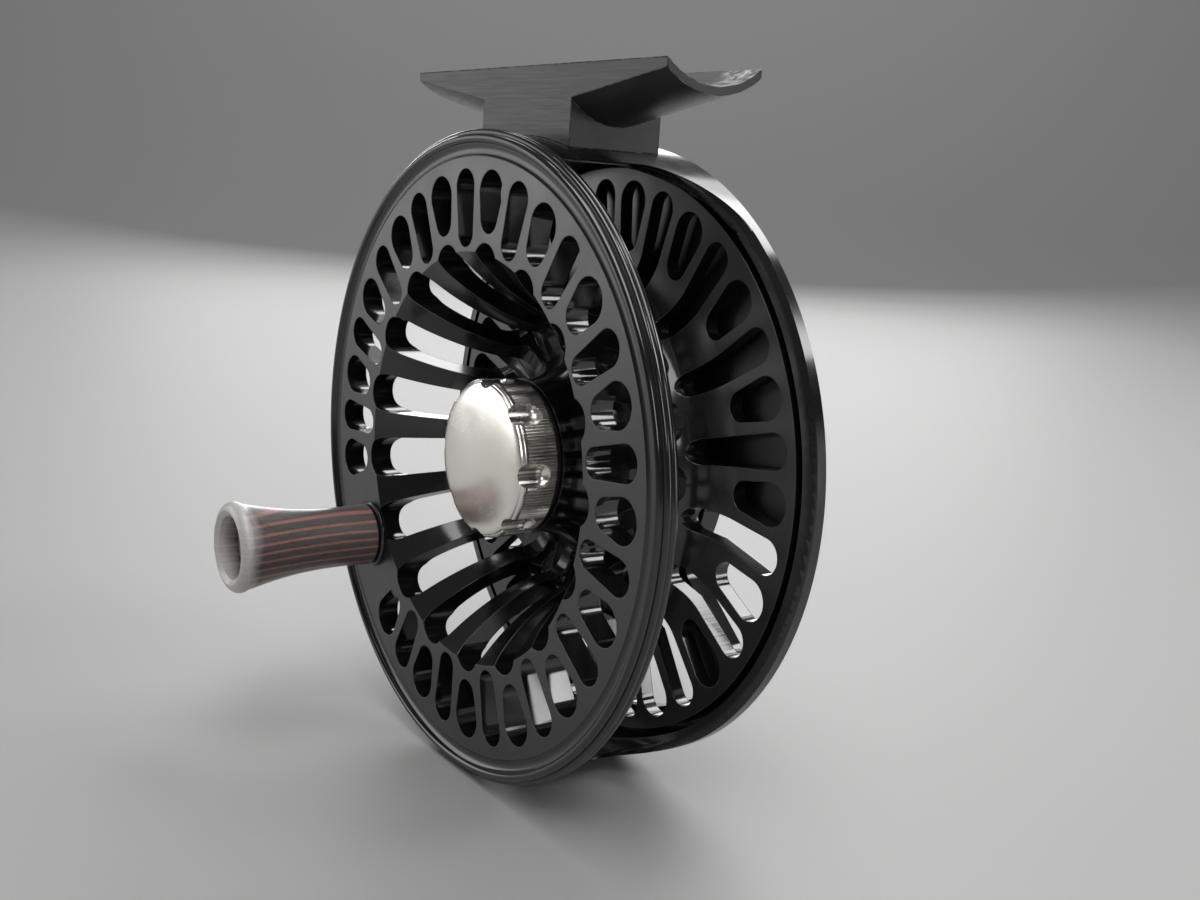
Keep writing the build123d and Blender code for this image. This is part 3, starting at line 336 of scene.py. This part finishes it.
def foot_metal(name):
    """Satin charcoal aluminium, brushed along the foot, worn to bare metal at the tips of the trough."""
    shade, bsdf = new_material(name, (0.026, 0.026, 0.028), 0.34)
    g = Graph(shade)
    x, y, z = g.split(g.position)
    brushed = g.noise(g.join(g.math("MULTIPLY", x, 0.04), y, z), 3800, 2, 0.6)
    base = g.blend(brushed, (0.022, 0.022, 0.024), (0.040, 0.041, 0.044))
    reach = g.math("ABSOLUTE", x)
    ragged = g.math("ADD", reach, g.math("MULTIPLY", g.noise(g.position, 420, 5, 0.7), 12 * MM))
    upward = g.remap(g.split(g.normal)[2], 0.2, 0.6)
    tip = g.remap(ragged, FOOT_END - 2.0 * MM, FOOT_END + 2.5 * MM)
    patches = g.remap(g.noise(g.position, 900, 4, 0.7), 0.42, 0.62)
    worn = g.math("MULTIPLY", g.math("MULTIPLY", tip, upward), patches, clamp=True)
    edge = g.math("MULTIPLY", g.edge_mask(0.2 * MM), g.remap(g.noise(g.position, 700, 3), 0.45, 0.6))
    worn = g.math("MAXIMUM", worn, g.math("MULTIPLY", edge, 0.6))
    g.feed(bsdf.inputs["Base Color"], g.blend(worn, base, (0.55, 0.54, 0.52)))
    g.feed(bsdf.inputs["Metallic"], worn)
    g.feed(bsdf.inputs["Roughness"], g.remap(brushed, 0.3, 0.7, 0.28, 0.40))
    g.feed(bsdf.inputs["Normal"], g.bump(brushed, 0.10, 0.03 * MM, g.soft_edges(0.25 * MM)))
    bsdf.inputs["IOR"].default_value = 1.40
    return shade


def turned_metal(name, colour, roughness, marks=0.2):
    """Turned or ground metal with fine rings round the spool axis and slight staining."""
    shade, bsdf = new_material(name, colour, roughness, 1.0)
    g = Graph(shade)
    radius, depth = g.around_axis()
    rings = g.noise(g.join(radius, depth, 0), 3600, 2)
    stain = g.noise(g.position, 240, 4, 0.6)
    dark = tuple(c * 0.82 for c in colour)
    g.feed(bsdf.inputs["Base Color"], g.blend(stain, dark, colour))
    g.feed(bsdf.inputs["Roughness"], g.remap(stain, 0.3, 0.7, roughness * 0.8, roughness * 1.25))
    g.feed(bsdf.inputs["Normal"], g.bump(rings, marks, 0.02 * MM, g.soft_edges(0.1 * MM)))
    return shade


def knob_metal(name):
    """Warm nickel-like silver with fine scratches and slight staining."""
    colour = (0.86, 0.83, 0.77)
    shade, bsdf = new_material(name, colour, 0.22, 1.0)
    g = Graph(shade)
    stain = g.noise(g.position, 170, 4, 0.6)
    warm = g.blend(stain, (0.84, 0.80, 0.73), (0.97, 0.95, 0.90))
    scratch = g.noise(g.vector("MULTIPLY", g.position, (1.0, 0.3, 0.12)), 5200, 3, 0.7)
    g.feed(bsdf.inputs["Base Color"], warm)
    g.feed(bsdf.inputs["Roughness"], g.remap(stain, 0.3, 0.7, 0.17, 0.30))
    g.feed(bsdf.inputs["Normal"], g.bump(scratch, 0.06, 0.02 * MM, g.soft_edges(0.06 * MM)))
    return shade


def rubber(name, tone=0.015, roughness=0.6):
    shade, bsdf = new_material(name, (tone,) * 3, roughness)
    g = Graph(shade)
    grain = g.noise(g.position, 3000, 3)
    g.feed(bsdf.inputs["Base Color"], g.blend(grain, (tone * 0.8,) * 3, (tone * 1.6,) * 3))
    g.feed(bsdf.inputs["Normal"], g.bump(grain, 0.15, 0.03 * MM))
    bsdf.inputs["Specular IOR Level"].default_value = 0.4
    return shade


def carbon_weave(name):
    shade, bsdf = new_material(name, (0.03, 0.03, 0.033), 0.4)
    g = Graph(shade)
    made = g.node("ShaderNodeTexChecker")
    g.feed(made.inputs["Vector"], g.position)
    made.inputs["Scale"].default_value = 1400
    weave = g.blend(made.outputs["Fac"], (0.02, 0.02, 0.022), (0.06, 0.06, 0.065))
    g.feed(bsdf.inputs["Base Color"], weave)
    return shade


def striped_wood(name):
    """Flat laminations along the handle: charcoal with thin copper-red veneers, rubbed pale at the mouth."""
    shade, bsdf = new_material(name, (0.09, 0.06, 0.055), 0.35)
    g = Graph(shade)
    x, y, z = g.split(g.vector("SUBTRACT", g.position, tuple(GRIP)))
    drift = g.noise(g.join(g.math("MULTIPLY", x, 0.6), g.math("MULTIPLY", y, 0.25), z), 150, 3)
    across = g.math("ADD", z, g.math("MULTIPLY", drift, 0.55 * MM))
    layer = g.math("FRACT", g.math("DIVIDE", across, 1.30 * MM))
    red = g.remap(g.math("ABSOLUTE", g.math("SUBTRACT", layer, 0.5)), 0.17, 0.11)
    fibre = g.noise(g.join(x, g.math("MULTIPLY", y, 0.05), z), 3600, 4, 0.7)
    pores = g.remap(g.noise(g.join(x, g.math("MULTIPLY", y, 0.10), z), 5200, 2, 0.6), 0.60, 0.70)
    dark = g.blend(fibre, (0.035, 0.031, 0.032), (0.17, 0.155, 0.155))
    copper = g.blend(fibre, (0.20, 0.070, 0.055), (0.52, 0.25, 0.20))
    wood = g.blend(red, dark, copper)
    wood = g.blend(g.math("MULTIPLY", pores, 0.5), wood, (0.012, 0.01, 0.01))
    mouth = g.math("SUBTRACT", y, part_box("handle_grip")[0].y - GRIP.y)
    ragged = g.math("ADD", mouth, g.math("MULTIPLY", g.noise(g.position, 300, 3), 2.4 * MM))
    rubbed = g.remap(ragged, 4.6 * MM, 2.4 * MM)
    pale = g.blend(fibre, (0.46, 0.455, 0.45), (0.86, 0.85, 0.84))
    g.feed(bsdf.inputs["Base Color"], g.blend(g.math("MULTIPLY", rubbed, 0.72), wood, pale))
    g.feed(bsdf.inputs["Roughness"], g.remap(fibre, 0.3, 0.7, 0.30, 0.48))
    g.feed(bsdf.inputs["Normal"], g.bump(g.math("SUBTRACT", fibre, pores), 0.22, 0.05 * MM))
    bsdf.inputs["Coat Weight"].default_value = 0.5
    bsdf.inputs["Coat Roughness"].default_value = 0.22
    return shade


# ---------------------------------------------------------------- turned parts, made finer

SAGITTA = 0.0022 * MM        # how far a chord may stand off its arc
WELD = 0.002 * MM
WIDEST_TURN = 0.6            # edges that turn further than this, in radians, cross the part and stay
CORE_RADIUS = 0.5 * MM       # vertices nearer the axis than this stay where they are
SAME_PLACE = 1e-7
SHARP_ANGLE = math.radians(32)
RING_STEP = 0.004 * MM
SIDEWAYS = 0.002             # a turned face leans no further sideways than this, as a squared share
NORMAL_BINS = 30             # steps from a normal square to the axis to one along it
RIM_COLUMNS = 540
RIM_SEAM = 0.02 * MM
RIM_SPACING = 0.05 * MM      # section points nearer together than this count as one


def turn_between(a, b):
    """Angle about the axis between two points."""
    gap = math.atan2(b.z, b.x) - math.atan2(a.z, a.x)
    return abs((gap + math.pi) % (2 * math.pi) - math.pi)


def needs_splitting(edge, centre):
    a, b = (v.co - centre for v in edge.verts)
    radius = (math.hypot(a.x, a.z) + math.hypot(b.x, b.z)) / 2
    turn = turn_between(a, b)
    return turn < WIDEST_TURN and radius * turn ** 2 / 8 > SAGITTA


def push_out(vertex, fresh, centre):
    """Move the new middle of an edge out to the radius that the edge's ends have."""
    near = [e.other_vert(vertex).co - centre for e in vertex.link_edges
            if e.other_vert(vertex) not in fresh]
    here = vertex.co - centre
    ends = nearest_pair(here, near)
    reach = math.hypot(here.x, here.z)
    if ends is None or reach <= CORE_RADIUS:
        return
    radius = sum(math.hypot(p.x, p.z) for p in ends) / 2
    vertex.co.x = centre.x + here.x * radius / reach
    vertex.co.z = centre.z + here.z * radius / reach


def refined(node, shade, centre=AXIS_POINT, rounds=3):
    """A copy of a CAD node with its turned surfaces divided until they look round."""
    work = bmesh.new()
    work.from_mesh(frame["nodes"][node].data)
    bmesh.ops.remove_doubles(work, verts=work.verts, dist=WELD)
    if node == "spool":
        turn_rim(work)
    for _ in range(rounds):
        split = [edge for edge in work.edges if needs_splitting(edge, centre)]
        if not split:
            break
        made = bmesh.ops.subdivide_edges(work, edges=split, cuts=1, use_grid_fill=True)
        fresh = {v for v in made["geom_inner"] if isinstance(v, bmesh.types.BMVert)}
        for vertex in fresh:
            push_out(vertex, fresh, centre)
        bmesh.ops.triangulate(work, faces=[f for f in work.faces if len(f.verts) > 3])
    mesh = bpy.data.meshes.new(node + "_fine")
    work.to_mesh(mesh)
    work.free()
    piece = bpy.data.objects.new(node + "_fine", mesh)
    bpy.context.scene.collection.objects.link(piece)
    mesh.shade_smooth()
    mesh.set_sharp_from_angle(angle=SHARP_ANGLE)
    even_normals(mesh, centre)
    finish_piece(piece, node, shade)


def turn_rim(work):
    """Swap the beaded rim for an even lathe surface through the section its own vertices lie on."""
    def section(point):
        return math.hypot(point.x - AXIS.x, point.z - AXIS.z), point.y - FACE_Y

    rim = []
    for face in work.faces:
        radius, depth = section(face.calc_center_median())
        if radius > RIM_INNER and depth < RIM_BACK - RIM_SEAM:
            rim.append(face)
    places = {section(v.co) for f in rim for v in f.verts}
    # seen from this point inside the rim, its section is met in order as the angle grows
    heart = (RIM_INNER + 2.0 * MM, RIM_BACK - 1.8 * MM)
    ordered = sorted(places, key=lambda p: math.atan2(p[1] - heart[1], p[0] - heart[0]) % (2 * math.pi))
    first = min(range(len(ordered)), key=lambda i: ordered[i][0] + abs(ordered[i][1]))
    outline = []
    for place in ordered[first:] + ordered[:first]:
        if not outline or math.dist(place, outline[-1]) > RIM_SPACING:
            outline.append(place)
    bmesh.ops.delete(work, geom=rim, context="FACES")
    rings = []
    for radius, depth in outline:
        turns = [2 * math.pi * k / RIM_COLUMNS for k in range(RIM_COLUMNS)]
        rings.append([work.verts.new((AXIS.x + radius * math.cos(t), FACE_Y + depth,
                                      AXIS.z + radius * math.sin(t))) for t in turns])
    for near, far in zip(rings, rings[1:]):
        for k in range(RIM_COLUMNS):
            after = (k + 1) % RIM_COLUMNS
            work.faces.new((near[k], near[after], far[after], far[k]))


def even_normals(mesh, centre):
    """Give every turned surface one shading normal all the way round its axis."""
    turned_faces = {}
    rings = {}
    for face in mesh.polygons:
        middle = face.center - centre
        out = Vector((middle.x, 0, middle.z)).normalized()
        radial, along = face.normal.dot(out), face.normal.y
        if 1 - radial ** 2 - along ** 2 > SIDEWAYS:
            continue
        turned_faces[face.index] = (radial, along)
        for corner in face.vertices:
            bins = rings.setdefault(ring_of(mesh.vertices[corner].co - centre), {})
            facing = (round(radial * NORMAL_BINS), round(along * NORMAL_BINS))
            total = bins.setdefault(facing, [0.0, 0.0])
            total[0] += radial * face.area
            total[1] += along * face.area
    normals = [corner.vector.copy() for corner in mesh.corner_normals]
    for index, (radial, along) in turned_faces.items():
        face = mesh.polygons[index]
        for loop, corner in zip(face.loop_indices, face.vertices):
            place = mesh.vertices[corner].co - centre
            alike = [t for t in rings[ring_of(place)].values()
                     if t[0] * radial + t[1] * along > math.hypot(*t) * math.cos(SHARP_ANGLE)]
            out = Vector((place.x, 0, place.z)).normalized()
            normals[loop] = (out * sum(t[0] for t in alike)
                             + Vector((0, sum(t[1] for t in alike), 0))).normalized()
    mesh.normals_split_custom_set(normals)


def ring_of(place):
    """The circle about the axis that a point lies on, to a few micrometres."""
    return round(math.hypot(place.x, place.z) / RING_STEP), round(place.y / RING_STEP)


def nearest_pair(middle, near):
    """The two of the points that the middle lies halfway between."""
    for i, a in enumerate(near):
        for b in near[i + 1:]:
            if ((a + b) / 2 - middle).length < SAME_PLACE:
                return a, b
    return None


def finish_piece(piece, node, shade):
    piece.data.materials.append(shade)
    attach(piece, frame["nodes"][node]["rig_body"])
    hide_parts(node)


# ---------------------------------------------------------------- knurled knobs

FLUTE_START = math.radians(-1.5)
KNURL_PER_FLUTE = 19
STEPS_PER_TOOTH = 8
KNURL_DEPTH = 0.18 * MM
KNURL_FADE_IN = 0.3 * MM
KNURL_FADE_OUT = 0.2 * MM
KNURL_SHARP_ANGLE = math.radians(28)
FLUTES = 8
FLUTE_RADIUS = 2.0 * MM
FLUTE_CENTRE = 12.3 * MM
FLUTE_LENGTH = 2.5 * MM      # from the edge of the dome to where a flute's round end begins
KNOB_DOME = 1.1 * MM
DOME_SWEEP = 1.45            # radians of arc from the middle of the dome to the lip
DOME_SHARE = 0.93
KNOB_LIP = 0.5 * MM
KNOB_CHAMFER = 0.3 * MM
DRAG_FLUTE_LENGTH = 3.6 * MM
DRAG_FACE_INNER = 5.4 * MM
DRAG_LIP = 0.8 * MM
DRAG_CHAMFER = 0.4 * MM
BOSS_BORE = 8.1 * MM


def flute_cut(angle, along, centre, bull_nose):
    """Radius at which the nearest flute leaves the knob at an angle, or None where it isn't cut."""
    pitch = 2 * math.pi / FLUTES
    off = (angle - FLUTE_START) % pitch
    off = min(off, pitch - off)
    reach_squared = FLUTE_RADIUS ** 2 - max(0.0, along - bull_nose) ** 2
    side = centre * math.sin(off)
    if reach_squared <= side ** 2:
        return None
    return centre * math.cos(off) - math.sqrt(reach_squared - side ** 2)


def fluted_knob(name, node, flute_centre, bull_nose, outline, knurl_span, faces_front):
    """A lathe-turned knob with bull-nosed flutes and a straight knurl.

    outline is a list of (distance from the outer face, radius), from the face's middle to the back."""
    low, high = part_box(node)
    face_y = low.y if faces_front else high.y
    inward = 1 if faces_front else -1
    columns = FLUTES * KNURL_PER_FLUTE * STEPS_PER_TOOTH
    start, end = knurl_span
    vertices, faces = [], []
    for along, ring_radius in outline:
        for column in range(columns):
            angle = 2 * math.pi * column / columns
            radius = ring_radius
            if start <= along <= end:
                tooth = (column % STEPS_PER_TOOTH) / STEPS_PER_TOOTH
                fade = min(1.0, (along - start) / KNURL_FADE_IN, (end - along) / KNURL_FADE_OUT)
                radius -= KNURL_DEPTH * fade * (1 - abs(2 * tooth - 1))
            cut = flute_cut(angle, along, flute_centre, bull_nose)
            if cut is not None:
                radius = min(radius, cut)
            vertices.append((AXIS.x + radius * math.cos(angle), face_y + inward * along,
                             AXIS.z + radius * math.sin(angle)))
    for ring_index in range(len(outline) - 1):
        for column in range(columns):
            following = (column + 1) % columns
            a, b = ring_index * columns + column, ring_index * columns + following
            c, d = b + columns, a + columns
            faces.append((a, b, c, d) if faces_front else (d, c, b, a))
    front_cap = tuple(range(columns))
    back_cap = tuple(range((len(outline) - 1) * columns, len(outline) * columns))
    faces.append(front_cap[::-1] if faces_front else front_cap)
    faces.append(back_cap if faces_front else back_cap[::-1])
    mesh = bpy.data.meshes.new(name)
    mesh.from_pydata(vertices, [], faces)
    mesh.validate()
    knob = bpy.data.objects.new(name, mesh)
    bpy.context.scene.collection.objects.link(knob)
    mesh.shade_smooth()
    mesh.set_sharp_from_angle(angle=KNURL_SHARP_ANGLE)
    return knob


def rows(start, end, count):
    return [start + (end - start) * i / (count - 1) for i in range(count)]


def add_spool_knob(shade):
    low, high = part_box("spool_knob")
    radius, length, dome = radius_of("spool_knob"), high.y - low.y, KNOB_DOME
    curve = [(dome * (1 - math.cos(t)) * DOME_SHARE,
              (radius - KNOB_LIP) * math.sin(t) / math.sin(DOME_SWEEP))
             for t in rows(0.02, DOME_SWEEP, 26)]
    lip = [(dome + KNOB_LIP * (1 - math.cos(t)), radius - KNOB_LIP + KNOB_LIP * math.sin(t))
           for t in rows(0.2, math.pi / 2, 6)]
    side = [(along, radius) for along in rows(dome + 0.55 * MM, length - KNOB_CHAMFER, 36)]
    back = [(length, radius - KNOB_CHAMFER), (length, radius * 0.5)]
    knob = fluted_knob("spool_knob_knurled", "spool_knob", FLUTE_CENTRE, dome + FLUTE_LENGTH,
                       curve + lip + side + back, (dome + KNOB_LIP, length), True)
    finish_piece(knob, "spool_knob", shade)


def add_drag_knob(shade):
    low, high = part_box("drag_knob")
    radius, length = radius_of("drag_knob"), high.y - low.y
    face = [(0.0, r) for r in rows(DRAG_FACE_INNER, radius - 1.0 * MM, 10)]
    lip = [(DRAG_LIP * (1 - math.cos(t)),
            radius - DRAG_LIP + DRAG_LIP * math.sin(t) - 0.2 * MM * math.cos(t))
           for t in rows(0.1, math.pi / 2, 7)]
    side = [(along, radius) for along in rows(0.9 * MM, length - DRAG_CHAMFER, 34)]
    back = [(length, radius - DRAG_CHAMFER), (length, BOSS_BORE), (length - 2.0 * MM, BOSS_BORE)]
    knob = fluted_knob("drag_knob_knurled", "drag_knob", radius + 1.0 * MM, DRAG_FLUTE_LENGTH,
                       face + lip + side + back, (0.85 * MM, length), False)
    finish_piece(knob, "drag_knob", shade)


# ---------------------------------------------------------------- put together

add_camera()
add_floor()
add_lights()

black = anodised("black_anodised_satin", 0.34, 0.13)
foot_shade = foot_metal("foot_charcoal")
silver = knob_metal("warm_silver")
steel = turned_metal("stainless_turned", (0.56, 0.56, 0.57), 0.28)
spring = turned_metal("spring_steel", (0.36, 0.36, 0.38), 0.34)
bright = turned_metal("ground_steel", (0.70, 0.70, 0.72), 0.14, 0.08)
bronze = turned_metal("sintered_bronze", (0.50, 0.33, 0.14), 0.42)
acetal = rubber("black_acetal", 0.03, 0.42)
nitrile = rubber("nitrile", 0.014, 0.55)
carbon = carbon_weave("carbon_disc")
wood = striped_wood("laminated_wood")

SHADES = {
    "black_anodised": black, "foot_anodised": foot_shade, "silver_metal": silver, "stainless": steel,
    "spring_steel": spring, "bearing_steel": bright, "polymer": acetal, "seal_rubber": nitrile,
    "carbon": carbon, "bronze": bronze, "laminated_wood": wood,
}
for subpart in frame["record"]["subparts"]:
    node = frame["nodes"][subpart["node"]]
    for slot in node.material_slots:
        slot.material = SHADES[subpart["material_slot"]]

add_spool_knob(silver)
add_drag_knob(silver)
for turned_node in ("spool", "frame", "drag_housing", "knob_ring", "handle_washer"):
    centre = GRIP if turned_node == "handle_washer" else AXIS_POINT
    slot_name = next(p["material_slot"] for p in frame["record"]["subparts"] if p["node"] == turned_node)
    refined(turned_node, black if turned_node == "handle_washer" else SHADES[slot_name], centre)
refined("handle_grip", wood, GRIP, 4)
